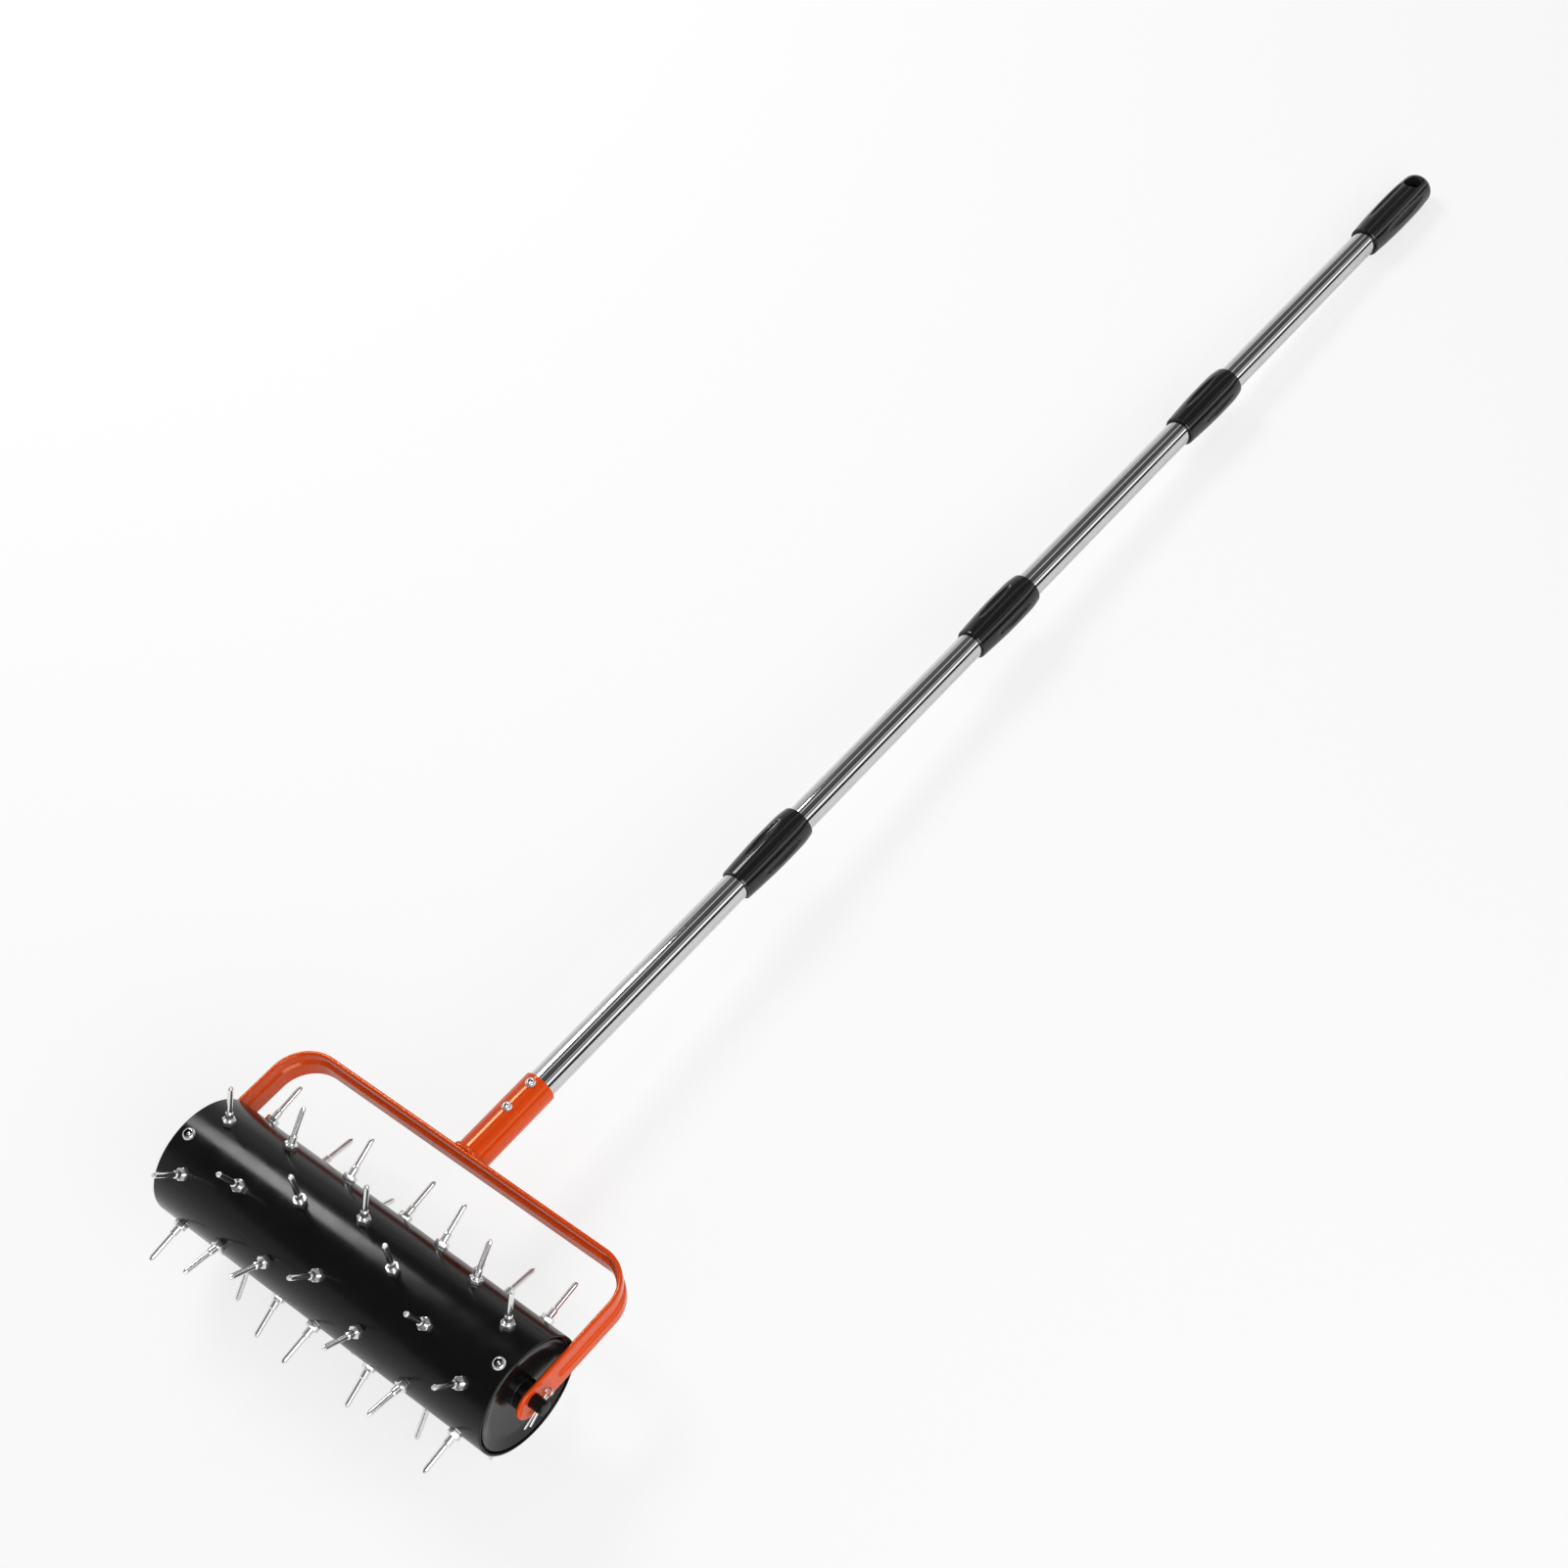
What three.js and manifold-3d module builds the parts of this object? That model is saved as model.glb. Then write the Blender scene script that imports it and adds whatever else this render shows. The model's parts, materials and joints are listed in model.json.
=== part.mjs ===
// A rolling spike aerator: a steel drum set with spikes turns on an axle held by a bent flat-bar
// yoke, and a long handle of four tubes ends in a grip.
// Millimetres. X runs along the axle, Y along the ground towards the grip and Z up.
// The aerator lies as it is put down: on its lowest spikes and on the end of the grip.

import * as THREE from 'three';
import { mergeVertices } from 'three/addons/utils/BufferGeometryUtils.js';
import Module from 'manifold-3d';

const { degToRad } = THREE.MathUtils;

// Clearances
const fitGap = 0.3;
const cutOverrun = 3;

// Drum shell
const drumRadius = 52;
const drumLength = 356;
const shellWall = 2;

// Spikes, in rings that are turned a step further with each ring away from the middle one
const ringCount = 7;
const ringInset = 27.4;
const spikesPerRing = 6;
const ringStep = degToRad(20);
const drumTurn = degToRad(6);
const spikeReach = 37.8;
const spikeRadius = 2.3;
const spikeTipRadius = 1.2;
const spikeTipLength = 3;
const collarRadius = 3.2;
const collarReach = 12.5;
const collarSlope = 1.2;
const nutRadius = 5.8;
const nutHeight = 4.6;
const spikeRootLength = 3;

// End caps of the drum, with their hubs and screws
const capInset = 2;
const capWall = 2.5;
const capDish = 3;
const capSkirt = 18;
const hubRadius = 13;
const hubDepth = 24;
const capScrewCount = 3;
const capScrewInset = 10.5;
const capScrewTurn = degToRad(90);
const capScrewRadius = 3;
const capScrewHeadRadius = 5.5;
const capScrewHeadHeight = 3;

// Axle and its split pins
const axleRadius = 6;
const axleStub = 11;
const axleChamfer = 1;
const pinInset = 5;
const pinTurn = degToRad(27);
const pinRadius = 1.5;
const pinEyeRise = 6;
const pinEyeRadius = 2.6;
const pinWireRadius = 1.1;
const pinLegLength = 15;
const pinLegStagger = 4;
const pinLegSpread = 1.1;

// Yoke: a flat bar bent into a bow, with a groove pressed down the middle of its outer face
const barWidth = 30;
const barThickness = 4;
const armClearance = 3;
const crossbarClearance = 30.4;
const bendRadius = 35;
const armEndReach = 17.5;
const grooveWidth = 12;
const grooveFloorWidth = 4;
const grooveDepth = 2.2;
const grooveStart = 28;
const grooveFade = 14;
const dishMargin = 2.5;
const dishSlope = 3.5;
const dishDepth = 1.5;

// Socket welded on the crossbar, and its two screws
const tubeRadius = 12.7;
const tubeWall = 1.2;
const socketWall = 2;
const socketLength = 85;
const weldSpread = 2.6;
const weldHeight = 4;
const socketScrewInset = 8.2;
const socketScrewPitch = 28;
const socketScrewRadius = 2.4;
const socketScrewHeadRadius = 4.5;
const socketScrewHeadHeight = 2.8;
const socketScrewEnd = 4;

// Handle: tubes, connectors and grip
const tubeFootGap = 4;
const connectorCount = 3;
const firstSectionLength = 334.4;
const sectionPitch = 334.3;
const connectorLength = 84.5;
const connectorMouthWall = 2.1;
const connectorBellyWall = 4.3;
const connectorEndWall = 2.2;
const connectorStopLength = 8;
const connectorStopStep = 1;
const gripLength = 112;
const gripMouthWall = 2.6;
const gripBellyWall = 4.7;
const gripTipWall = 3.2;
const gripDomeLength = 14;
const gripSolidLength = 44;
const hangHoleRadius = 7.4;
const hangHoleInset = 21.5;
const fluteCount = 4;
const fluteTurn = degToRad(-21);
const fluteHalfWidth = 3.8;
const fluteDepth = 1.1;
const connectorFluteHalfLength = 24;
const gripFluteHalfLength = 33;

// Outline shares along a connector and a grip: how far along, and how far the radius has grown
// from the mouth's to the belly's
const connectorSwellShares = [[0, 0], [0.2, 0.55], [0.45, 0.93], [0.68, 1], [0.88, 0.88], [0.97, 0.5]];
const gripSwellShares = [[0, 0], [0.16, 0.55], [0.34, 0.92], [0.52, 1], [0.72, 0.85]];

// Sides of the round shapes
const drumSides = 60;
const tubeSides = 24;
const rodSides = 12;
const spikeSides = 8;
const nutSides = 6;
const scoopSides = 10;
const bendSteps = 8;
const domeSteps = 8;
const armEndSteps = 5;

// Colours
const paintOrange = new THREE.MeshStandardMaterial({ color: 0xd4431a, roughness: 0.38, metalness: 0.1 });
const drumBlack = new THREE.MeshStandardMaterial({ color: 0x1b1b1d, roughness: 0.42, metalness: 0.2 });
const glossBlack = new THREE.MeshStandardMaterial({ color: 0x151517, roughness: 0.2, metalness: 0 });
const gripBlack = new THREE.MeshStandardMaterial({ color: 0x1c1c1e, roughness: 0.35, metalness: 0 });
const tubeSteel = new THREE.MeshStandardMaterial({ color: 0xc9cacc, roughness: 0.2, metalness: 1 });
const brightChrome = new THREE.MeshStandardMaterial({ color: 0xe4e5e7, roughness: 0.1, metalness: 1 });
const axleBlack = new THREE.MeshStandardMaterial({ color: 0x202022, roughness: 0.5, metalness: 0.4 });

const wasm = await Module();
wasm.setup();

// Solid and geometry, turned into each other
function toSolid(geometry) {
  const bare = geometry.clone();
  bare.deleteAttribute('normal');
  bare.deleteAttribute('uv');
  const merged = mergeVertices(bare);
  const corners = merged.index.array;
  const kept = [];
  for (let i = 0; i < corners.length; i += 3) {
    const [a, b, c] = [corners[i], corners[i + 1], corners[i + 2]];
    if (a !== b && b !== c && c !== a) kept.push(a, b, c);
  }
  const mesh = new wasm.Mesh({
    numProp: 3,
    vertProperties: merged.attributes.position.array,
    triVerts: new Uint32Array(kept),
  });
  return new wasm.Manifold(mesh);
}

function toGeometry(solid) {
  const mesh = solid.getMesh();
  const geometry = new THREE.BufferGeometry();
  geometry.setAttribute('position', new THREE.BufferAttribute(mesh.vertProperties, 3));
  geometry.setIndex(new THREE.BufferAttribute(mesh.triVerts, 1));
  geometry.computeVertexNormals();
  return geometry;
}

// A turned shape about Y; its outline runs up the outside and closes down the inside
function turned(outline, sides) {
  const points = outline.map(([radius, along]) => new THREE.Vector2(radius, along));
  return new THREE.LatheGeometry(points, sides);
}

function ringOutline(innerRadius, outerRadius, start, end) {
  return [
    [innerRadius, start],
    [outerRadius, start],
    [outerRadius, end],
    [innerRadius, end],
    [innerRadius, start],
  ];
}

// A round bar along Y between two places
function roundBar(radius, start, end, sides) {
  const bar = new THREE.CylinderGeometry(radius, radius, end - start, sides);
  return bar.translate(0, (start + end) / 2, 0);
}

// Where things lie
const ringPitch = (drumLength - 2 * ringInset) / (ringCount - 1);
const crossbarReach = drumRadius + spikeReach + crossbarClearance + barThickness;
const innerSpan = drumLength / 2 + armClearance;
const outerSpan = innerSpan + barThickness;
const axleHalfLength = outerSpan + axleStub;
const pinPlace = axleHalfLength - pinInset;
const socketStart = crossbarReach + fitGap;
const socketEnd = crossbarReach + socketLength;
const handleBore = tubeRadius + fitGap;
const socketRadius = handleBore + socketWall;
const connectorBellyRadius = handleBore + connectorBellyWall;
const gripBellyRadius = handleBore + gripBellyWall;
const gripTipRadius = handleBore + gripTipWall;
const firstConnectorReach = crossbarReach + firstSectionLength;
const gripStart = firstConnectorReach + connectorCount * sectionPitch;
const gripEnd = gripStart + gripLength;
const gripBoreDepth = gripLength - gripSolidLength;

function spikePlaces() {
  const places = [];
  for (let ring = 0; ring < ringCount; ring += 1) {
    const fromMiddle = ring - (ringCount - 1) / 2;
    for (let spike = 0; spike < spikesPerRing; spike += 1) {
      const angle = ringStep * Math.abs(fromMiddle) + (spike * 2 * Math.PI) / spikesPerRing;
      places.push({ ring, spike, along: fromMiddle * ringPitch, angle });
    }
  }
  return places;
}

// How far the spikes reach from the axle in a direction given by its angle from Y towards Z
function spikeReachTowards(direction) {
  const tipReach = drumRadius + spikeReach;
  const reaches = spikePlaces().map(({ angle }) => {
    const turn = angle + drumTurn - direction;
    return Math.cos(turn) * tipReach + Math.abs(Math.sin(turn)) * spikeTipRadius;
  });
  return Math.max(...reaches);
}

// The handle's slope at which a place on the grip meets the ground
function slopeToGround([radius, along]) {
  const reach = gripStart + along;
  return Math.asin(axleHeight / Math.hypot(reach, radius)) - Math.atan2(radius, reach);
}

const axleHeight = spikeReachTowards(-Math.PI / 2);
const handleSlope = Math.min(...gripOutline().map(slopeToGround));
const reachForward = gripEnd * Math.cos(handleSlope);
const reachBack = spikeReachTowards(Math.PI);
const axlePlace = new THREE.Vector3(0, (reachBack - reachForward) / 2, axleHeight);

// The drum
function drumShell() {
  const inner = drumRadius - shellWall;
  const tube = turned(ringOutline(inner, drumRadius, -drumLength / 2, drumLength / 2), drumSides);
  let shell = toSolid(tube.rotateZ(-Math.PI / 2));
  const spikeHole = roundBar(collarRadius + fitGap, inner - cutOverrun, drumRadius + cutOverrun, spikeSides);
  for (const { along, angle } of spikePlaces()) {
    shell = shell.subtract(toSolid(spikeHole.clone().rotateX(angle).translate(along, 0, 0)));
  }
  const screwHole = roundBar(capScrewRadius + fitGap, inner - cutOverrun, drumRadius + cutOverrun, spikeSides);
  for (const side of [-1, 1]) {
    for (const angle of capScrewAngles()) {
      const place = side * (drumLength / 2 - capScrewInset);
      shell = shell.subtract(toSolid(screwHole.clone().rotateX(angle).translate(place, 0, 0)));
    }
  }
  return toGeometry(shell);
}

// A spike stands along Y with the drum's surface at zero
function spike() {
  const outline = [
    [0, -shellWall - spikeRootLength],
    [collarRadius, -shellWall - spikeRootLength],
    [collarRadius, collarReach - collarSlope],
    [spikeRadius, collarReach],
    [spikeRadius, spikeReach - spikeTipLength],
    [spikeTipRadius, spikeReach],
    [0, spikeReach],
  ];
  const pin = toSolid(turned(outline, spikeSides));
  const nut = toSolid(roundBar(nutRadius, fitGap, nutHeight, nutSides));
  return toGeometry(pin.add(nut));
}

function capScrewAngles() {
  const angles = [];
  for (let screw = 0; screw < capScrewCount; screw += 1) {
    angles.push(capScrewTurn + (screw * 2 * Math.PI) / capScrewCount);
  }
  return angles;
}

// The right cap, with its outside towards +Y before it is laid along X
function endCap() {
  const rim = drumRadius - shellWall - fitGap;
  const face = drumLength / 2 - capInset;
  const boreRadius = axleRadius + fitGap;
  const outline = [
    [boreRadius, face - hubDepth],
    [hubRadius, face - hubDepth],
    [hubRadius, face - capDish - capWall],
    [rim - capWall, face - capWall],
    [rim - capWall, face - capSkirt],
    [rim, face - capSkirt],
    [rim, face],
    [rim - capWall, face],
    [hubRadius, face - capDish],
    [hubRadius, innerSpan - fitGap],
    [boreRadius, innerSpan - fitGap],
    [boreRadius, face - hubDepth],
  ];
  let cap = toSolid(turned(outline, drumSides / 2).rotateZ(-Math.PI / 2));
  const screwPlace = drumLength / 2 - capScrewInset;
  const headStart = drumRadius + fitGap;
  const shankEnd = headStart + capScrewHeadHeight / 2;
  const shank = roundBar(capScrewRadius, rim - capWall - fitGap, shankEnd, spikeSides);
  const head = roundBar(capScrewHeadRadius, headStart, headStart + capScrewHeadHeight, rodSides);
  for (const angle of capScrewAngles()) {
    cap = cap.add(toSolid(shank.clone().rotateX(angle).translate(screwPlace, 0, 0)));
    cap = cap.add(toSolid(head.clone().rotateX(angle).translate(screwPlace, 0, 0)));
  }
  return toGeometry(cap);
}

// The axle and its pins
function axleRod() {
  const outline = [
    [0, -axleHalfLength],
    [axleRadius - axleChamfer, -axleHalfLength],
    [axleRadius, -axleHalfLength + axleChamfer],
    [axleRadius, axleHalfLength - axleChamfer],
    [axleRadius - axleChamfer, axleHalfLength],
    [0, axleHalfLength],
  ];
  let rod = toSolid(turned(outline, tubeSides).rotateZ(-Math.PI / 2));
  const holeReach = axleRadius + cutOverrun;
  const hole = roundBar(pinRadius + fitGap, -holeReach, holeReach, spikeSides).rotateX(pinTurn);
  for (const side of [-1, 1]) {
    rod = rod.subtract(toSolid(hole.clone().translate(side * pinPlace, 0, 0)));
  }
  return toGeometry(rod);
}

// A split pin along Y with its eye up and its two legs side by side
function splitPin() {
  const shankEnd = -axleRadius - fitGap;
  const eyeReach = axleRadius + pinEyeRise;
  const eye = new THREE.TorusGeometry(pinEyeRadius, pinWireRadius, spikeSides, rodSides);
  let pin = toSolid(roundBar(pinRadius, shankEnd, eyeReach - pinEyeRadius, spikeSides));
  pin = pin.add(toSolid(eye.translate(0, eyeReach, 0)));
  const legRadius = pinRadius / 2;
  for (const side of [-1, 1]) {
    const legEnd = -axleRadius - pinLegLength + (side > 0 ? pinLegStagger : 0);
    const lean = Math.atan2(pinLegSpread, pinLegLength);
    const leg = roundBar(legRadius, legEnd - shankEnd, pinRadius, spikeSides).rotateZ(side * lean);
    pin = pin.add(toSolid(leg.translate(side * legRadius, shankEnd, 0)));
  }
  return toGeometry(pin);
}

// The yoke's bar, from one arm end round to the other. Each station has the bar's outer face,
// the direction towards its inner face, its half width and how deep the groove is there.
function yokeStations() {
  const side = [];
  const endRadius = barWidth / 2;
  const endCentre = endRadius - armEndReach;
  for (let step = 0; step <= armEndSteps; step += 1) {
    const turn = ((step + 1) / (armEndSteps + 1)) * (Math.PI / 2);
    const along = endCentre - endRadius * Math.cos(turn);
    side.push({ x: outerSpan, y: along, inward: 0, halfWidth: endRadius * Math.sin(turn), groove: 0 });
  }
  const arm = { x: outerSpan, inward: 0, halfWidth: endRadius };
  side.push({ ...arm, y: grooveStart, groove: 0 });
  side.push({ ...arm, y: grooveStart + grooveFade, groove: 1 });
  for (let step = 0; step <= bendSteps; step += 1) {
    const turn = (step / bendSteps) * (Math.PI / 2);
    side.push({
      x: outerSpan - bendRadius + bendRadius * Math.cos(turn),
      y: crossbarReach - bendRadius + bendRadius * Math.sin(turn),
      inward: turn,
      halfWidth: endRadius,
      groove: 1,
    });
  }
  const mirrored = side.map((s) => ({ ...s, x: -s.x, inward: Math.PI - s.inward }));
  return [...side, ...mirrored.reverse()];
}

// Places across the bar's width, as pairs of the place and the share of the groove's depth there
function barSection(halfWidth) {
  const brim = (halfWidth * grooveWidth) / barWidth;
  const floor = (halfWidth * grooveFloorWidth) / barWidth;
  return [
    [-halfWidth, 0],
    [-brim, 0],
    [-floor, 1],
    [floor, 1],
    [brim, 0],
    [halfWidth, 0],
  ];
}

function yokeBar() {
  const rows = yokeStations().map(({ x, y, inward, halfWidth, groove }) => {
    const section = barSection(halfWidth);
    const place = (depth, across) => [x - depth * Math.cos(inward), y - depth * Math.sin(inward), across];
    const outer = section.map(([across, share]) => place(share * groove * grooveDepth, across));
    const inner = section.map(([across, share]) => place(barThickness + share * groove * grooveDepth, across));
    return [...outer, ...inner.reverse()];
  });
  return loft(rows);
}

// A skin over closed rows of equally many points, with a flat end at the first and last row
function loft(rows) {
  const perRow = rows[0].length;
  const positions = rows.flat(2);
  const index = [];
  for (let row = 0; row + 1 < rows.length; row += 1) {
    for (let i = 0; i < perRow; i += 1) {
      const next = (i + 1) % perRow;
      const [a, b] = [row * perRow + i, row * perRow + next];
      const [c, d] = [a + perRow, b + perRow];
      index.push(a, d, b, a, c, d);
    }
  }
  const last = (rows.length - 1) * perRow;
  for (let i = 0; i + 1 < perRow / 2; i += 1) {
    const [a, b, c, d] = [i, i + 1, perRow - 2 - i, perRow - 1 - i];
    index.push(a, b, c, a, c, d);
    index.push(last + a, last + c, last + b, last + a, last + d, last + c);
  }
  const geometry = new THREE.BufferGeometry();
  geometry.setAttribute('position', new THREE.Float32BufferAttribute(positions, 3));
  geometry.setIndex(index);
  return geometry;
}

function yokeFrame() {
  let yoke = toSolid(yokeBar());
  const hole = roundBar(axleRadius + fitGap, innerSpan - cutOverrun, outerSpan + cutOverrun, tubeSides);
  const dishRadius = barWidth / 2 - dishMargin;
  const dishOutline = [
    [0, outerSpan - dishDepth],
    [dishRadius - dishSlope, outerSpan - dishDepth],
    [dishRadius, outerSpan],
    [dishRadius, outerSpan + cutOverrun],
    [0, outerSpan + cutOverrun],
  ];
  const dish = turned(dishOutline, tubeSides);
  for (const side of [-1, 1]) {
    const turn = (-side * Math.PI) / 2;
    yoke = yoke.subtract(toSolid(hole.clone().rotateZ(turn)));
    yoke = yoke.subtract(toSolid(dish.clone().rotateZ(turn)));
  }
  return toGeometry(yoke);
}

// Holes for the socket's screws, through whatever wall lies within the given radius
function withScrewHoles(solid, wallRadius) {
  const hole = roundBar(socketScrewRadius + fitGap, 0, wallRadius + cutOverrun, spikeSides);
  let result = solid;
  for (const place of socketScrewPlaces()) {
    result = result.subtract(toSolid(hole.clone().rotateX(Math.PI / 2).translate(0, place, 0)));
  }
  return result;
}

function socketScrewPlaces() {
  const upper = socketEnd - socketScrewInset;
  return [upper, upper - socketScrewPitch];
}

function handleSocket() {
  const outline = [
    [handleBore, socketStart],
    [socketRadius + weldSpread, socketStart],
    [socketRadius, socketStart + weldHeight],
    [socketRadius, socketEnd],
    [handleBore, socketEnd],
    [handleBore, socketStart],
  ];
  return toGeometry(withScrewHoles(toSolid(turned(outline, tubeSides)), socketRadius));
}

// A socket screw along Y with the seat of its head at zero
function socketScrew() {
  const shankStart = -socketWall - tubeWall - socketScrewEnd;
  const shank = roundBar(socketScrewRadius, shankStart, socketScrewHeadHeight / 2, spikeSides);
  const head = roundBar(socketScrewHeadRadius, fitGap, socketScrewHeadHeight, rodSides);
  return toGeometry(toSolid(shank).add(toSolid(head)));
}

// The handle's tubes
function tubeSpans() {
  const stopStart = (connectorLength - connectorStopLength) / 2 - fitGap;
  const stopEnd = (connectorLength + connectorStopLength) / 2 + fitGap;
  const spans = [];
  for (let tube = 0; tube <= connectorCount; tube += 1) {
    const connector = firstConnectorReach + tube * sectionPitch;
    const start = tube === 0 ? crossbarReach + tubeFootGap : connector - sectionPitch + stopEnd;
    const end = tube === connectorCount ? gripStart + gripBoreDepth - fitGap : connector + stopStart;
    spans.push([start, end]);
  }
  return spans;
}

function handleTube([start, end]) {
  const ring = toSolid(turned(ringOutline(tubeRadius - tubeWall, tubeRadius, start, end), tubeSides));
  return toGeometry(withScrewHoles(ring, tubeRadius));
}

function swell(length, mouthRadius, bellyRadius, shares) {
  return shares.map(([along, grown]) => [mouthRadius + (bellyRadius - mouthRadius) * grown, length * along]);
}

// Long shallow flutes round a handle piece that runs along Y
function withFlutes(solid, centre, surfaceRadius, halfLength) {
  const scoop = new THREE.SphereGeometry(1, scoopSides, nutSides);
  scoop.scale(fluteHalfWidth, halfLength, fluteDepth);
  scoop.translate(0, centre, surfaceRadius);
  let result = solid;
  for (let flute = 0; flute < fluteCount; flute += 1) {
    const turn = fluteTurn + (flute * 2 * Math.PI) / fluteCount;
    result = result.subtract(toSolid(scoop.clone().rotateY(turn)));
  }
  return result;
}

function connector() {
  const mouthRadius = handleBore + connectorMouthWall;
  const stopRadius = tubeRadius - tubeWall - connectorStopStep;
  const stopStart = (connectorLength - connectorStopLength) / 2;
  const stopEnd = (connectorLength + connectorStopLength) / 2;
  const outline = [
    [handleBore, 0],
    ...swell(connectorLength, mouthRadius, connectorBellyRadius, connectorSwellShares),
    [handleBore + connectorEndWall, connectorLength],
    [handleBore, connectorLength],
    [handleBore, stopEnd],
    [stopRadius, stopEnd],
    [stopRadius, stopStart],
    [handleBore, stopStart],
    [handleBore, 0],
  ];
  const barrel = toSolid(turned(outline, tubeSides));
  return toGeometry(withFlutes(barrel, connectorLength / 2, connectorBellyRadius, connectorFluteHalfLength));
}

// The outside of the grip, from its mouth over its belly and round its domed end
function gripOutline() {
  const outline = swell(gripLength, handleBore + gripMouthWall, gripBellyRadius, gripSwellShares);
  for (let step = 0; step < domeSteps; step += 1) {
    const turn = (step / domeSteps) * (Math.PI / 2);
    const along = gripLength - gripDomeLength + gripDomeLength * Math.sin(turn);
    outline.push([gripTipRadius * Math.cos(turn), along]);
  }
  return outline;
}

function grip() {
  const outline = [
    [0, gripBoreDepth],
    [handleBore, gripBoreDepth],
    [handleBore, 0],
    ...gripOutline(),
    [0, gripLength],
  ];
  const body = toSolid(turned(outline, tubeSides));
  const holeReach = gripBellyRadius + cutOverrun;
  const hole = roundBar(hangHoleRadius, -holeReach, holeReach, tubeSides).rotateX(Math.PI / 2);
  const holed = body.subtract(toSolid(hole.translate(0, gripLength - hangHoleInset, 0)));
  return toGeometry(withFlutes(holed, gripLength / 2, gripBellyRadius, gripFluteHalfLength));
}

// Putting the aerator together
function named(name, geometry, material) {
  const mesh = new THREE.Mesh(geometry, material);
  mesh.name = name;
  return mesh;
}

function drumGroup() {
  const drum = new THREE.Group();
  drum.add(named('drum_shell', drumShell(), drumBlack));
  const cap = endCap();
  drum.add(named('end_cap_right', cap, glossBlack));
  const leftCap = named('end_cap_left', cap, glossBlack);
  leftCap.rotation.set(2 * capScrewTurn - Math.PI, 0, Math.PI);
  drum.add(leftCap);
  const spikeGeometry = spike();
  for (const { ring, spike: number, along, angle } of spikePlaces()) {
    const mesh = named(`spike_${ring + 1}_${number + 1}`, spikeGeometry, brightChrome);
    mesh.position.set(along, drumRadius * Math.cos(angle), drumRadius * Math.sin(angle));
    mesh.rotation.x = angle;
    drum.add(mesh);
  }
  return drum;
}

function handleAndYoke() {
  const frame = new THREE.Group();
  frame.add(named('yoke_frame', yokeFrame(), paintOrange));
  frame.add(named('handle_socket', handleSocket(), paintOrange));
  frame.add(named('axle_rod', axleRod(), axleBlack));
  const pinGeometry = splitPin();
  for (const [name, side] of [['split_pin_left', -1], ['split_pin_right', 1]]) {
    const pin = named(name, pinGeometry, brightChrome);
    pin.position.x = side * pinPlace;
    pin.rotation.x = pinTurn;
    frame.add(pin);
  }
  const screwGeometry = socketScrew();
  socketScrewPlaces().forEach((place, i) => {
    const screw = named(`socket_screw_${['upper', 'lower'][i]}`, screwGeometry, brightChrome);
    screw.position.set(0, place, socketRadius);
    screw.rotation.x = Math.PI / 2;
    frame.add(screw);
  });
  tubeSpans().forEach((span, i) => {
    frame.add(named(`handle_tube_${i + 1}`, handleTube(span), tubeSteel));
  });
  const connectorGeometry = connector();
  for (let i = 0; i < connectorCount; i += 1) {
    const mesh = named(`connector_${i + 1}`, connectorGeometry, glossBlack);
    mesh.position.y = firstConnectorReach + i * sectionPitch;
    frame.add(mesh);
  }
  const gripMesh = named('grip', grip(), gripBlack);
  gripMesh.position.y = gripStart;
  frame.add(gripMesh);
  return frame;
}

const lying = handleAndYoke();
lying.position.copy(axlePlace);
lying.rotation.x = -handleSlope;
const rolling = drumGroup();
rolling.position.copy(axlePlace);
rolling.rotation.x = drumTurn;
const aerator = new THREE.Group();
aerator.add(lying, rolling);

export default aerator;
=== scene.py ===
"""A rolling spike aerator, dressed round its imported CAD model. Metres, in the CAD's own frame."""
import json
import math

import bmesh
import bpy
from mathutils import Euler, Matrix, Vector, noise


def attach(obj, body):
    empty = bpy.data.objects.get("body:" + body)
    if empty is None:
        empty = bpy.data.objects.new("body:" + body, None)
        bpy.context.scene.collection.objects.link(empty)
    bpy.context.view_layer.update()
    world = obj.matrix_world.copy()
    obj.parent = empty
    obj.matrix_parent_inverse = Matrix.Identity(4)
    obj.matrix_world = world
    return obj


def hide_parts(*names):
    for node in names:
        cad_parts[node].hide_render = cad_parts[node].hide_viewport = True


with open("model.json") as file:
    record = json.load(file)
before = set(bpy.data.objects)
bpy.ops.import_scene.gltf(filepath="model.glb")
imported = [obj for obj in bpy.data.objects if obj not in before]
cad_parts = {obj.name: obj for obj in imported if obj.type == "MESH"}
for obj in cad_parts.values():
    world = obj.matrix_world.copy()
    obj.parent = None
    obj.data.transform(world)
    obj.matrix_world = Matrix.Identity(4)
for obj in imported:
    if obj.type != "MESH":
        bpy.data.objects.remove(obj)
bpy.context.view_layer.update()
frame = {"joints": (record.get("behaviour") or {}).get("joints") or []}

mm = 0.001
full_turn = 2 * math.pi
half_turn = math.pi
quarter_turn = math.pi / 2

# Drum and its caps
drum_radius = 52 * mm
drum_length = 356 * mm
drum_turn = math.radians(6)
shell_wall = 2 * mm
shell_edge = 0.95 * mm
shell_return = 30 * mm
cap_radius = 48.2 * mm
cap_seat_inset = 7 * mm
cap_seat_fillet = 0.4 * mm
cap_rim_inset = 0.1 * mm
cap_rim_width = 2.6 * mm
cap_rim_drop = 1.6 * mm
cap_rim_outer_fillet = 1.1 * mm
cap_rim_inner_fillet = 1.6 * mm
cap_slope_radius = 38 * mm
cap_slope_inset = 4.3 * mm
cap_slope_fillet = 20 * mm
cap_dish_inset = 5 * mm
cap_dish_fillet = 2 * mm
cap_wall = 2.5 * mm
hub_radius = 13 * mm
hub_foot_fillet = 0.6 * mm
hub_fillet = 1.2 * mm
arm_clearance = 3 * mm
fit_gap = 0.3 * mm

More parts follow.
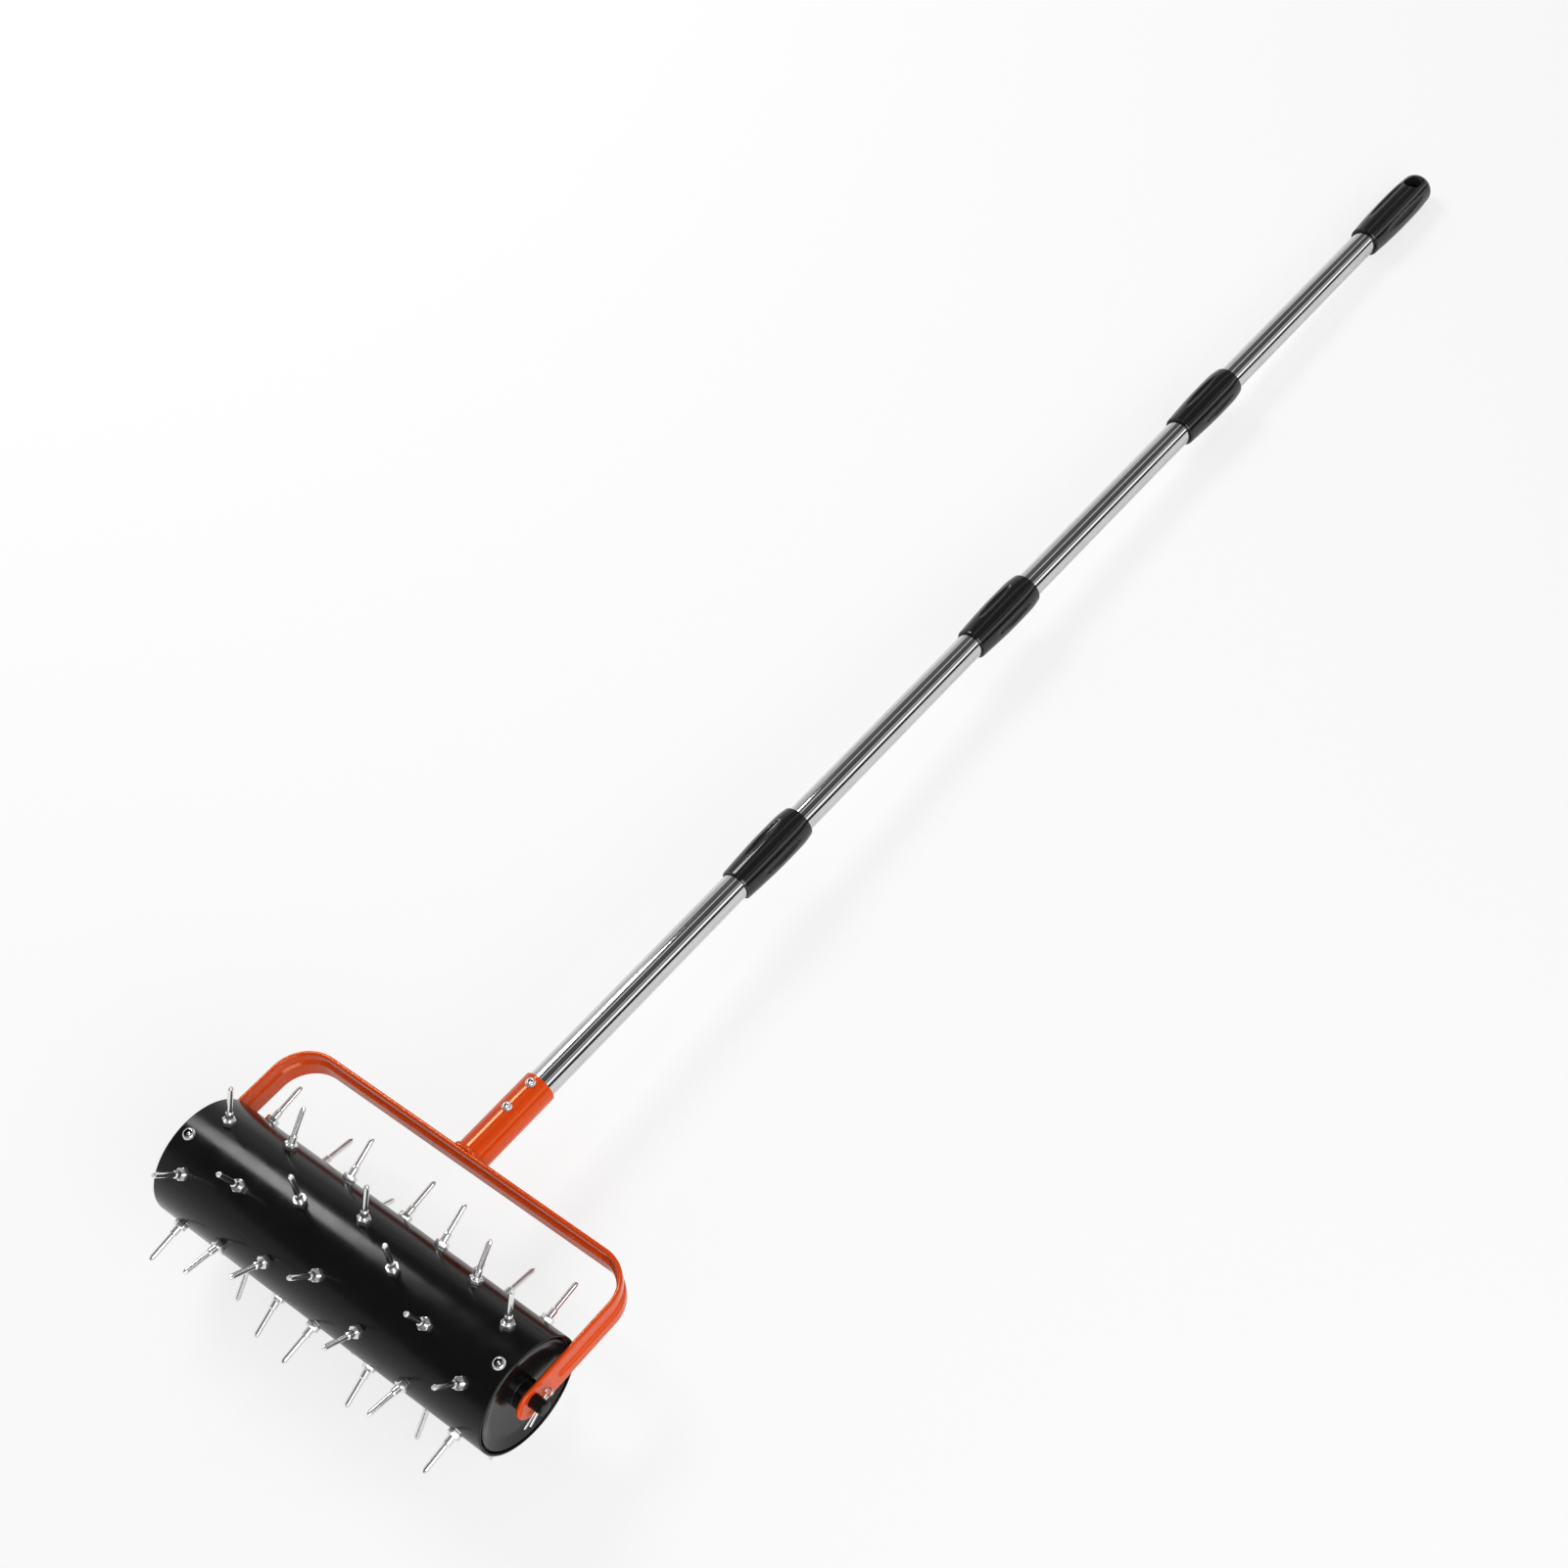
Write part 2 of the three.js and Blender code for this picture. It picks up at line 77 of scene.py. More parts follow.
# Spikes and their nuts
ring_count = 7
ring_pitch = 50.2 * mm
spikes_per_ring = 6
ring_step = math.radians(20)
spike_reach = 37.8 * mm
spike_radius = 2.3 * mm
spike_tip_radius = 1.35 * mm
spike_tip_length = 2.6 * mm
spike_tip_slant = 0.5 * mm
spike_fillet = 0.4 * mm
collar_radius = 3.2 * mm
collar_reach = 12.5 * mm
collar_slope = 1.4 * mm
collar_fillet = 0.5 * mm
spike_root = 1.5 * mm
nut_sides = 6
nut_side_steps = 12
nut_flat_radius = 5.0 * mm
nut_height = 4.6 * mm
nut_crown_share = 0.97
nut_crown_slope = math.radians(30)
nut_bevel = 0.15 * mm

# Button-head screws, in shares of the head's radius and height. The key hole's outline has pairs of a share
# of its own radius and a share of the head's height.
head_side_share = 0.3
head_shoulder_radius_share = 0.8
head_shoulder_height_share = 0.85
head_shoulder_fillet_share = 0.4
head_top_share = 0.55
head_foot_fillet = 0.2 * mm
head_side_fillet = 0.5 * mm
head_top_fillet = 0.3 * mm
head_steps = 48
head_bevel = 0.12 * mm
key_sides = 6
key_hole_outline = ((0, 0.6), (0.35, 0.55), (0.6, 0.3), (0.64, 0.1), (1, 0.1), (1, 2), (0, 2))
key_peg_share = 0.6
key_floor_share = 0.2

# Drum screws
cap_screw_count = 3
cap_screw_inset = 10.5 * mm
cap_screw_turn = math.radians(90)
cap_screw_head_radius = 5.4 * mm
cap_screw_head_height = 3 * mm
cap_screw_key_radius = 3.7 * mm

# Axle and split pins
axle_radius = 6 * mm
axle_half_length = 196 * mm
axle_chamfer = 1 * mm
axle_fillet = 0.2 * mm
pin_inset = 5 * mm
pin_turn = math.radians(27)
pin_strand_width = 0.72 * mm
pin_strand_depth = 1.35 * mm
pin_strand_steps = 16
pin_eye_reach = 12 * mm
pin_eye_radius = 2.7 * mm
pin_eye_mouth = math.radians(24)
pin_eye_steps = 24
pin_leg_reach = 21 * mm
pin_leg_stagger = 4 * mm
pin_leg_spread = 0.75 * mm
pin_leg_closing = 1.6
pin_leg_steps = 12

# Yoke
bar_width = 30 * mm
bar_thickness = 4 * mm
bar_edge = 1.9 * mm
arm_face = 185 * mm
crossbar_reach = 124.2 * mm
bend_radius = 35 * mm
arm_end_reach = 17.5 * mm
groove_half_width = 5.6 * mm
groove_floor_half_width = 3.4 * mm
groove_depth = 2.2 * mm
groove_start = 31 * mm
dish_radius = 12.5 * mm
dish_floor_radius = 9.6 * mm
dish_depth = 1.5 * mm

# Rows of points along and across the yoke's bar, close together at the arm's end, the dish and the edges.
# The first rows are in millimetres from the arm's end.
bar_end_rows = (0, 0.04, 0.15, 0.35, 0.65, 1.05, 1.5)
bar_fine_start = 2.3 * mm
bar_fine_pitch = 0.8 * mm
bar_fine_rows = 60
bar_arm_rows = 10
bar_bend_rows = 28
bar_middle_rows = 12
bar_edge_shares = (0, 0.03, 0.12, 0.3, 0.6, 1)
bar_across_steps = 22

# Socket, weld and socket screws
tube_radius = 12.7 * mm
tube_wall = 1.2 * mm
tube_fillet = 0.3 * mm
socket_radius = 15 * mm
socket_wall = 2 * mm
socket_end = 209.2 * mm
socket_edge = 0.7 * mm
weld_radius = 2.5 * mm
weld_sink = 0.2 * mm
weld_rise = 1.3
weld_root = 0.5
weld_ripples = 26
weld_ripple_depth = 0.35 * mm
weld_ripple_wander = 2
weld_ripple_scale = 5
weld_roughness = 0.9 * mm
weld_roughness_scale = 3.1
weld_grain = 0.12 * mm
weld_grain_scale = 600
weld_steps = 240
weld_section_steps = 18
socket_screw_places = (201 * mm, 173 * mm)
socket_screw_head_radius = 4.5 * mm
socket_screw_head_height = 2.8 * mm
socket_screw_key_radius = 2.6 * mm

# Handle; spans, starts and outlines are in millimetres, and an outline has pairs of radius and place
handle_slope = math.radians(2.687143)
tube_spans = ((128.2, 496.5), (505.2, 830.8), (839.5, 1165.1), (1173.8, 1529.2))
connector_starts = (458.6, 792.9, 1127.2)
connector_length = 84.5 * mm
connector_outline = ((15.1, 0), (15.5, 3), (16.3, 17), (17.15, 38), (17.3, 57), (17.05, 73), (15.7, 83.5))
plastic_rim = 0.8 * mm
plastic_mouth_fillet = 0.3 * mm
grip_start = 1461.5 * mm
grip_length = 112 * mm
grip_outline = ((15.6, 0), (15.9, 4), (16.8, 18), (17.5, 38), (17.66, 58), (17.38, 80), (16.2, 98))
grip_tip_radius = 16.2 * mm
grip_dome_length = 14 * mm
grip_dome_steps = 12
grip_mouth_depth = 68 * mm
hang_hole_radius = 7.4 * mm
hang_hole_lip = 0.9 * mm
hang_hole_mouth_radius = 8.7 * mm
hang_hole_mouth_depth = 5 * mm
hang_hole_inset = 21.5 * mm
hang_hole_rim_share = 0.97
flute_count = 4
flute_half_width = 4.2 * mm
flute_depth = 2.3 * mm
flute_lift = 0.2 * mm
flute_rim = 0.35 * mm
flute_rim_press = 0.25
flute_band = 3 * mm
connector_flute_turn = math.radians(-17)
connector_flute_half_length = 26 * mm
grip_flute_turn = math.radians(-26)
grip_flute_half_length = 36 * mm
grip_flute_shift = 4 * mm

# Fineness of the round shapes
drum_steps = 160
round_steps = 64
tube_steps = 128
rod_steps = 32
flute_steps = 240
fillet_steps = 5
outline_steps = 14
merge_distance = 0.002 * mm
bevel_segments = 2
bevel_angle = math.radians(30)
sharp_angle = math.radians(40)
plastic_sharp_angle = math.radians(22)

# Noise in the materials, as pairs of features to a metre and finer layers
paint_drift = (14, 4)
paint_peel = (260, 2)
paint_pits = (1600, 2)
paint_pit_share = 1 / 3
paint_gloss = (60, 5)
paint_gloss_range = (0.85, 1.2)
metal_stains = (35, 5)
metal_line_layers = 3
metal_bump_strength = 0.6
metal_gloss_range = (0.85, 1.15)
plastic_skin_layers = 3
plastic_flow = (40, 3)
plastic_flow_stretch = (1, 0.25, 1)
plastic_bump_strength = 0.7
plastic_gloss = (90, 5)
plastic_gloss_range = (0.8, 1.25)
noise_low = 0.3
noise_high = 0.7

# Floor: its size, its matt finish, and the shares that glow near the object, far from it and in reflections
floor_half = 40.0
floor_near = 1.4
floor_far = 4.0
floor_colour = (0.96, 0.96, 0.96)
floor_roughness = 0.9
floor_shine = 0.1
near_glow_share = 0.76
far_glow_share = 0.97
gloss_glow_share = 0.35

# Studio: pairs of an angle from overhead towards +X, in degrees, and a brightness
studio_stops = (
    (-90, 0.62), (-54, 0.6), (-48, 0.14), (-11, 0.1), (-9, 0.8), (-4, 0.8), (-2, 0.1), (34, 0.08),
    (36, 0.65), (41, 0.65), (43, 0.07), (50, 0.07), (52, 1.35), (66, 1.35), (68, 0.02), (90, 0.02),
)
studio_peak = 1.5
pale_horizon = 0.95
horizon_low = 0.03
horizon_high = 0.08

# Camera: its turn in degrees, its lens and sensor in millimetres
camera_place = (1.048411, -1.167789, 1.944620)
camera_turn = (37.5207, 6.7411, 38.8157)
camera_lens = 62.8443
sensor_width = 36

axle_place = Vector(frame["joints"][0]["pos_m"])
handle_frame = Matrix.Translation(axle_place) @ Matrix.Rotation(-handle_slope, 4, "X")
drum_frame = Matrix.Translation(axle_place) @ Matrix.Rotation(drum_turn, 4, "X")
along_x = Matrix.Rotation(-quarter_turn, 4, "Z")
sides = ((1, "right"), (-1, "left"))


# Mesh making
def new_mesh(verts, faces):
    """A mesh whose doubled points are merged and whose faces all look outwards."""
    mesh = bpy.data.meshes.new("shape")
    mesh.from_pydata([tuple(v) for v in verts], [], faces)
    work = bmesh.new()
    work.from_mesh(mesh)
    bmesh.ops.remove_doubles(work, verts=work.verts, dist=merge_distance)
    bmesh.ops.recalc_face_normals(work, faces=work.faces)
    work.to_mesh(mesh)
    work.free()
    return mesh


def skin_faces(rows, count, looped=True, closed=True):
    """Faces between rows of points. Looped joins the last row to the first, closed joins each row's ends."""
    faces = []
    for row in range(rows if looped else rows - 1):
        this = row * count
        following = (row + 1) % rows * count
        for i in range(count if closed else count - 1):
            j = (i + 1) % count
            faces.append((this + i, this + j, following + j, following + i))
    return faces


def joined(meshes):
    """One mesh of several."""
    work = bmesh.new()
    for mesh in meshes:
        work.from_mesh(mesh)
    result = bpy.data.meshes.new("shape")
    work.to_mesh(result)
    work.free()
    return result


def rounded(corners, closed=True):
    """An outline through corners of radius, place and fillet, with each corner rounded."""
    points = []
    for i, (radius, along, fillet) in enumerate(corners):
        here = Vector((radius, along))
        if not fillet or (not closed and i in (0, len(corners) - 1)):
            points.append(here)
            continue
        before = Vector(corners[i - 1][:2]) - here
        after = Vector(corners[(i + 1) % len(corners)][:2]) - here
        half = before.angle(after) / 2
        run = min(fillet / math.tan(half), before.length / 2, after.length / 2)
        reach = run / math.cos(half)
        centre = here + (before.normalized() + after.normalized()).normalized() * reach
        start = here + before.normalized() * run - centre
        end = here + after.normalized() * run - centre
        sweep = start.angle(end)
        for step in range(fillet_steps + 1):
            share = step / fillet_steps
            arm = start * math.sin((1 - share) * sweep) + end * math.sin(share * sweep)
            points.append(centre + arm / math.sin(sweep))
    return points


def turned(outline, steps, closed=True):
    """A surface turned about Y from an outline of radius and place along Y."""
    verts = []
    for step in range(steps):
        turn = full_turn * step / steps
        verts += [(r * math.sin(turn), y, r * math.cos(turn)) for r, y in outline]
    return new_mesh(verts, skin_faces(steps, len(outline), closed=closed))


def new_object(name, data):
    """An object in the scene."""
    item = bpy.data.objects.new(name, data)
    bpy.context.scene.collection.objects.link(item)
    return item


def modified(mesh, kind, **settings):
    """The mesh with a modifier of a kind applied to it."""
    holder = new_object("holder", mesh)
    modifier = holder.modifiers.new("change", kind)
    for key, value in settings.items():
        setattr(modifier, key, value)
    depsgraph = bpy.context.evaluated_depsgraph_get()
    result = bpy.data.meshes.new_from_object(holder.evaluated_get(depsgraph))
    bpy.data.objects.remove(holder)
    return result


def with_cut(mesh, cutter):
    """The mesh with the cutter's shape taken out of it."""
    tool = new_object("cutter", cutter)
    result = modified(mesh, "BOOLEAN", operation="DIFFERENCE", solver="EXACT", object=tool)
    bpy.data.objects.remove(tool)
    return result


def with_bevels(mesh, width):
    """The mesh with its sharp edges rounded."""
    return modified(
        mesh,
        "BEVEL",
        width=width,
        segments=bevel_segments,
        limit_method="ANGLE",
        angle_limit=bevel_angle,
    )


def piece(name, mesh, place, materials, body, stands_for=(), sharp=sharp_angle):
    """A piece of the object, laid in the CAD's frame. Its own coordinates are kept for its materials."""
    mesh = mesh.copy()
    own = mesh.attributes.new("own_place", "FLOAT_VECTOR", "POINT")
    for i, vertex in enumerate(mesh.vertices):
        own.data[i].vector = vertex.co
    mesh.transform(place)
    mesh.shade_smooth()
    mesh.set_sharp_from_angle(angle=sharp)
    marks = [face.material_index for face in mesh.polygons]
    mesh.materials.clear()
    for material in materials:
        mesh.materials.append(material)
    for face, mark in zip(mesh.polygons, marks):
        face.material_index = mark
    item = new_object(name, mesh)
    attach(item, body)
    if stands_for:
        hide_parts(*stands_for)


# Materials
class Nodes:
    """The node tree of a material or the world, with short ways to add and join nodes."""

    def __init__(self, owner, shader="Principled BSDF"):
        owner.use_nodes = True
        self.owner = owner
        self.tree = owner.node_tree
        self.shader = self.tree.nodes[shader]

    def fill(self, node, values):
        """Sets the values of some of a node's inputs."""
        for key, value in values.items():
            node.inputs[key].default_value = value

    def add(self, kind, values=None, **settings):
        """A node with its settings, and with values for some of its inputs."""
        node = self.tree.nodes.new(kind)
        for key, value in settings.items():
            setattr(node, key, value)
        self.fill(node, values or {})
        return node

    def link(self, source, target):
        self.tree.links.new(source, target)

    def place(self, stretch):
        """The piece's own coordinates in metres, stretched."""
        source = self.add("ShaderNodeAttribute", attribute_name="own_place")
        mapping = self.add("ShaderNodeMapping", {"Scale": stretch})
        self.link(source.outputs["Vector"], mapping.inputs["Vector"])
        return mapping.outputs["Vector"]

    def noise(self, scale, detail, stretch=(1, 1, 1)):
        node = self.add("ShaderNodeTexNoise", {"Scale": scale, "Detail": detail})
        self.link(self.place(stretch), node.inputs["Vector"])
        return node.outputs["Fac"]

    def spread(self, value, scale, shares):
        """A noise carried to a range, given as shares of scale."""
        low, high = shares
        ends = {"From Min": noise_low, "From Max": noise_high, "To Min": scale * low, "To Max": scale * high}
        node = self.add("ShaderNodeMapRange", ends)
        self.link(value, node.inputs["Value"])
        return node.outputs["Result"]

    def colours(self, value, first, second):
        """A colour that goes from first to second with a noise."""
        node = self.add("ShaderNodeValToRGB")
        start, end = node.color_ramp.elements
        start.position = noise_low
        start.color = (*first, 1)
        end.position = noise_high
        end.color = (*second, 1)
        self.link(value, node.inputs["Fac"])
        return node.outputs["Color"]

    def bump(self, value, distance, strength=1.0, normal=None):
        node = self.add("ShaderNodeBump", {"Distance": distance, "Strength": strength})
        self.link(value, node.inputs["Height"])
        if normal is not None:
            self.link(normal, node.inputs["Normal"])
        return node.outputs["Normal"]

    def finish(self, colour, roughness, normal, values=None):
        """The material, with what varies linked to its shader and what is the same all over set on it."""
        self.link(colour, self.shader.inputs["Base Color"])
        self.link(roughness, self.shader.inputs["Roughness"])
        self.link(normal, self.shader.inputs["Normal"])
        self.fill(self.shader, values or {})
        return self.owner


def painted(name, colour, dark_colour, roughness, peel, shine, glint=(1, 1, 1)):
    """Sprayed enamel: faint colour drift, orange peel and a few finer pits."""
    n = Nodes(bpy.data.materials.new(name))
    normal = n.bump(n.noise(*paint_peel), peel)
    normal = n.bump(n.noise(*paint_pits), peel * paint_pit_share, normal=normal)
    tint = n.colours(n.noise(*paint_drift), dark_colour, colour)
    gloss = n.spread(n.noise(*paint_gloss), roughness, paint_gloss_range)
    return n.finish(tint, gloss, normal, {"Specular IOR Level": shine, "Specular Tint": (*glint, 1)})


def metal(name, colour, dark_colour, roughness, grain, depth, stretch=(1, 1, 1), metallic=1.0):
    """Bright metal: polishing grain, faint stains and uneven gloss."""
    n = Nodes(bpy.data.materials.new(name))
    lines = n.noise(grain, metal_line_layers, stretch)
    normal = n.bump(lines, depth, metal_bump_strength)
    tint = n.colours(n.noise(*metal_stains), dark_colour, colour)
    gloss = n.spread(lines, roughness, metal_gloss_range)
    return n.finish(tint, gloss, normal, {"Metallic": metallic})


def plastic(name, colour, worn_colour, roughness, grain, depth):
    """Moulded plastic: soft flow lines, a fine skin and lightly rubbed gloss."""
    n = Nodes(bpy.data.materials.new(name))
    normal = n.bump(n.noise(grain, plastic_skin_layers), depth, plastic_bump_strength)
    tint = n.colours(n.noise(*plastic_flow, plastic_flow_stretch), colour, worn_colour)
    gloss = n.spread(n.noise(*plastic_gloss), roughness, plastic_gloss_range)
    return n.finish(tint, gloss, normal)


orange_paint = painted(
    "orange_paint",
    colour=(0.76, 0.066, 0.004),
    dark_colour=(0.7, 0.056, 0.003),
    roughness=0.12,
    peel=0.0002 * mm,
    shine=0.55,
    glint=(1, 0.9, 0.5),
)
drum_paint = painted(
    "drum_paint",
    colour=(0.0042, 0.0042, 0.0045),
    dark_colour=(0.003, 0.003, 0.0032),
    roughness=0.2,
    peel=0.005 * mm,
    shine=0.27,
)
cap_paint = painted(
    "cap_paint",
    colour=(0.004, 0.004, 0.0043),
    dark_colour=(0.003, 0.003, 0.0032),
    roughness=0.17,
    peel=0.003 * mm,
    shine=0.45,
)
axle_finish = painted(
    "axle_finish",
    colour=(0.006, 0.006, 0.0065),
    dark_colour=(0.004, 0.004, 0.004),
    roughness=0.32,
    peel=0.015 * mm,
    shine=0.25,
)
chrome = metal(
    "chrome",
    colour=(0.9, 0.905, 0.91),
    dark_colour=(0.82, 0.825, 0.83),
    roughness=0.14,
    grain=150,
    depth=0.0003 * mm,
)
pin_steel = metal(
    "pin_steel",
    colour=(0.62, 0.62, 0.63),
    dark_colour=(0.5, 0.5, 0.51),
    roughness=0.22,
    grain=300,
    depth=0.0005 * mm,
)
screw_zinc = metal(
    "screw_zinc",
    colour=(0.88, 0.885, 0.9),
    dark_colour=(0.78, 0.785, 0.8),
    roughness=0.12,
    grain=200,
    depth=0.0005 * mm,
    metallic=0.85,
)
nut_zinc = metal(
    "nut_zinc",
    colour=(0.92, 0.925, 0.93),
    dark_colour=(0.85, 0.855, 0.86),
    roughness=0.12,
    grain=200,
    depth=0.0005 * mm,
    metallic=0.93,
)
# Near-black metal on the walls and floor of the screws' key holes: a painted shade that stands in for the
# shadow in the recess
key_hole_painted_shade = metal(
    "key_hole_painted_shade",
    colour=(0.035, 0.035, 0.037),
    dark_colour=(0.02, 0.02, 0.021),
    roughness=0.35,
    grain=900,
    depth=0.002 * mm,
)
tube_steel = metal(
    "tube_steel",
    colour=(0.7, 0.7, 0.71),
    dark_colour=(0.63, 0.63, 0.64),
    roughness=0.085,
    grain=14,
    depth=0.0004 * mm,
    stretch=(60, 1, 60),
)
connector_plastic = plastic(
    "connector_plastic",
    colour=(0.008, 0.008, 0.0085),
    worn_colour=(0.012, 0.012, 0.0125),
    roughness=0.12,
    grain=900,
    depth=0.0005 * mm,
)
grip_plastic = plastic(
    "grip_plastic",
    colour=(0.01, 0.01, 0.0105),
    worn_colour=(0.015, 0.015, 0.016),
    roughness=0.14,
    grain=700,
    depth=0.0012 * mm,
)


# The drum's shell and caps, turned about Y and then laid along X
def shell_mesh():
    half = drum_length / 2
    inner = drum_radius - shell_wall
    right = [
        (drum_radius, half, shell_edge),
        (inner, half, shell_edge),
        (inner, half - shell_return, 0),
    ]
    left = [(radius, -along, fillet) for radius, along, fillet in reversed(right)]
    return turned(rounded(left + right), drum_steps)


def cap_mesh():
    """The right cap; its outside looks along +Y."""
    end = drum_length / 2
    dish = end - cap_dish_inset
    hub_end = end + arm_clearance - fit_gap
    outline = [
        (drum_radius - shell_wall, end - cap_seat_inset - cap_wall, 0),
        (drum_radius - shell_wall, end - cap_seat_inset, 0),
        (cap_radius, end - cap_seat_inset, cap_seat_fillet),
        (cap_radius, end - cap_rim_inset, cap_rim_outer_fillet),
        (cap_radius - cap_rim_width, end - cap_rim_inset - cap_rim_drop, cap_rim_inner_fillet),
        (cap_slope_radius, end - cap_slope_inset, cap_slope_fillet),
        (hub_radius + cap_wall, dish, cap_dish_fillet),
        (hub_radius, dish, hub_foot_fillet),
        (hub_radius, hub_end, hub_fillet),
        (axle_radius + fit_gap, hub_end, 0),
        (axle_radius + fit_gap, dish - cap_wall, 0),
    ]
    return turned(rounded(outline), drum_steps)


def in_key_hole(spot, head_height, key_radius):
    """Whether the middle of a screw's face lies on the walls or the floor of its key hole."""
    reach = math.hypot(spot.x, spot.z)
    inside = spot.y < head_height * head_shoulder_height_share and reach < key_radius
    on_wall = reach > key_radius * key_peg_share
    on_floor = spot.y < head_height * key_floor_share
    return inside and (on_wall or on_floor)


def screw_mesh(head_radius, head_height, key_radius):
    """A button-head screw; its head stands up along Y from zero, with a hexagonal key hole."""
    shoulder_radius = head_radius * head_shoulder_radius_share
    shoulder_height = head_height * head_shoulder_height_share
    outline = [
        (0, 0, 0),
        (head_radius, 0, head_foot_fillet),
        (head_radius, head_height * head_side_share, head_side_fillet),
        (shoulder_radius, shoulder_height, head_radius * head_shoulder_fillet_share),
        (head_radius * head_top_share, head_height, head_top_fillet),
        (0, head_height, 0),
    ]
    head = turned(rounded(outline, closed=False), head_steps, closed=False)
    key = [(key_radius * radius, head_height * along) for radius, along in key_hole_outline]
    screw = with_bevels(with_cut(head, turned(key, key_sides, closed=False)), head_bevel)
    # The key hole's walls and floor take the second material, a painted shade
    for face in screw.polygons:
        face.material_index = 1 if in_key_hole(face.center, head_height, key_radius) else 0
    return screw


def nut_mesh():
    """A hexagonal nut standing up along Y, with a coned crown."""
    side_turn = full_turn / nut_sides
    crown_radius = nut_flat_radius * nut_crown_share
    steps = nut_sides * nut_side_steps
    verts = []
    for step in range(steps):
        turn = full_turn * step / steps
        off_flat = (step % nut_side_steps / nut_side_steps - 1 / 2) * side_turn
        reach = nut_flat_radius / math.cos(off_flat)
        outline = (
            (collar_radius, 0),
            (reach, 0),
            (reach, nut_height - (reach - crown_radius) * math.tan(nut_crown_slope)),
            (crown_radius, nut_height),
            (collar_radius, nut_height),
        )
        verts += [(r * math.sin(turn), y, r * math.cos(turn)) for r, y in outline]
    return new_mesh(verts, skin_faces(steps, len(outline)))


def spike_mesh():
    """A spike with its nut, standing up along Y from the drum's surface."""
    tip_start = spike_reach - spike_tip_length
    outline = [
        (0, -spike_root, 0),
        (collar_radius, -spike_root, 0),
        (collar_radius, collar_reach - collar_slope, collar_fillet),
        (spike_radius, collar_reach, collar_fillet),
        (spike_radius, tip_start, spike_fillet),
        (spike_tip_radius, spike_reach, spike_fillet),
        (0, spike_reach, 0),
    ]
    pin = turned(rounded(outline, closed=False), rod_steps, closed=False)
    for vertex in pin.vertices:
        above = max(0, vertex.co.y - tip_start) / spike_tip_length
        vertex.co.y -= spike_tip_slant * above * (1 - vertex.co.x / spike_tip_radius) / 2
    for face in pin.polygons:
        face.material_index = 1 if face.center.y < collar_reach else 0
    nut = with_bevels(nut_mesh(), nut_bevel)
    for face in nut.polygons:
        face.material_index = 1
    return joined([pin, nut])


piece("drum_skin", shell_mesh(), drum_frame @ along_x, [drum_paint], "drum", ["drum_shell"])
cap = cap_mesh()
cap_screw = screw_mesh(cap_screw_head_radius, cap_screw_head_height, cap_screw_key_radius)
# Zinc for the screw heads, and a painted shade for their key holes
screw_zinc_and_painted_shade = [screw_zinc, key_hole_painted_shade]
for side, word in sides:
    lay = drum_frame @ Matrix.Rotation(-side * quarter_turn, 4, "Z")
    piece(f"cap_{word}", cap, lay, [cap_paint], "drum", [f"end_cap_{word}"])
    for i in range(cap_screw_count):
        turn = cap_screw_turn + full_turn * i / cap_screw_count
        spot = Matrix.Translation((side * (drum_length / 2 - cap_screw_inset), 0, 0))
        seat = spot @ Matrix.Rotation(turn, 4, "X") @ Matrix.Translation((0, drum_radius - fit_gap, 0))
        name = f"drum_screw_{word}_{i + 1}"
        piece(name, cap_screw, drum_frame @ seat, screw_zinc_and_painted_shade, "drum")

spike = spike_mesh()
for ring in range(ring_count):
    rings_off_middle = ring - (ring_count - 1) / 2
    for i in range(spikes_per_ring):
        turn = ring_step * abs(rings_off_middle) + full_turn * i / spikes_per_ring
        seat = Matrix.Translation((rings_off_middle * ring_pitch, 0, 0)) @ Matrix.Rotation(turn, 4, "X")
        seat = seat @ Matrix.Translation((0, drum_radius, 0))
        name = f"{ring + 1}_{i + 1}"
        piece(f"spike_pin_{name}", spike, drum_frame @ seat, [chrome, nut_zinc], "drum",
              [f"spike_{name}"])


# The axle and its split pins
def axle_mesh():
    outline = [
        (0, -axle_half_length, 0),
        (axle_radius - axle_chamfer, -axle_half_length, axle_fillet),
        (axle_radius, -axle_half_length + axle_chamfer, axle_fillet),
        (axle_radius, axle_half_length - axle_chamfer, axle_fillet),
        (axle_radius - axle_chamfer, axle_half_length, axle_fillet),
        (0, axle_half_length, 0),
    ]
    return turned(rounded(outline, closed=False), round_steps, closed=False)


def strand_along(path, width, depth, steps):
    """A strand along a path in the XY plane, with an elliptical section."""
    verts = []
    for i, spot in enumerate(path):
        ahead = (path[min(i + 1, len(path) - 1)] - path[max(i - 1, 0)]).normalized()
        across = Vector((-ahead.y, ahead.x, 0))
        for step in range(steps):
            turn = full_turn * step / steps
            verts.append(spot + across * width * math.cos(turn) + Vector((0, 0, depth * math.sin(turn))))
    faces = skin_faces(len(path), steps, looped=False)
    first_end = range(steps)
    last_end = range(len(verts) - steps, len(verts))
    faces += [tuple(first_end), tuple(reversed(last_end))]
    return new_mesh(verts, faces)


def pin_leg(side, tip, shoulder):
    """Places up one leg of a split pin, from its tip to its shoulder, closing in on the way."""
    places = []
    for step in range(pin_leg_steps + 1):
        share = step / pin_leg_steps
        spread = pin_leg_spread * max(0, 1 - share * pin_leg_closing)
        places.append(Vector((side * (pin_strand_width + spread), tip + (shoulder - tip) * share, 0)))
    return places


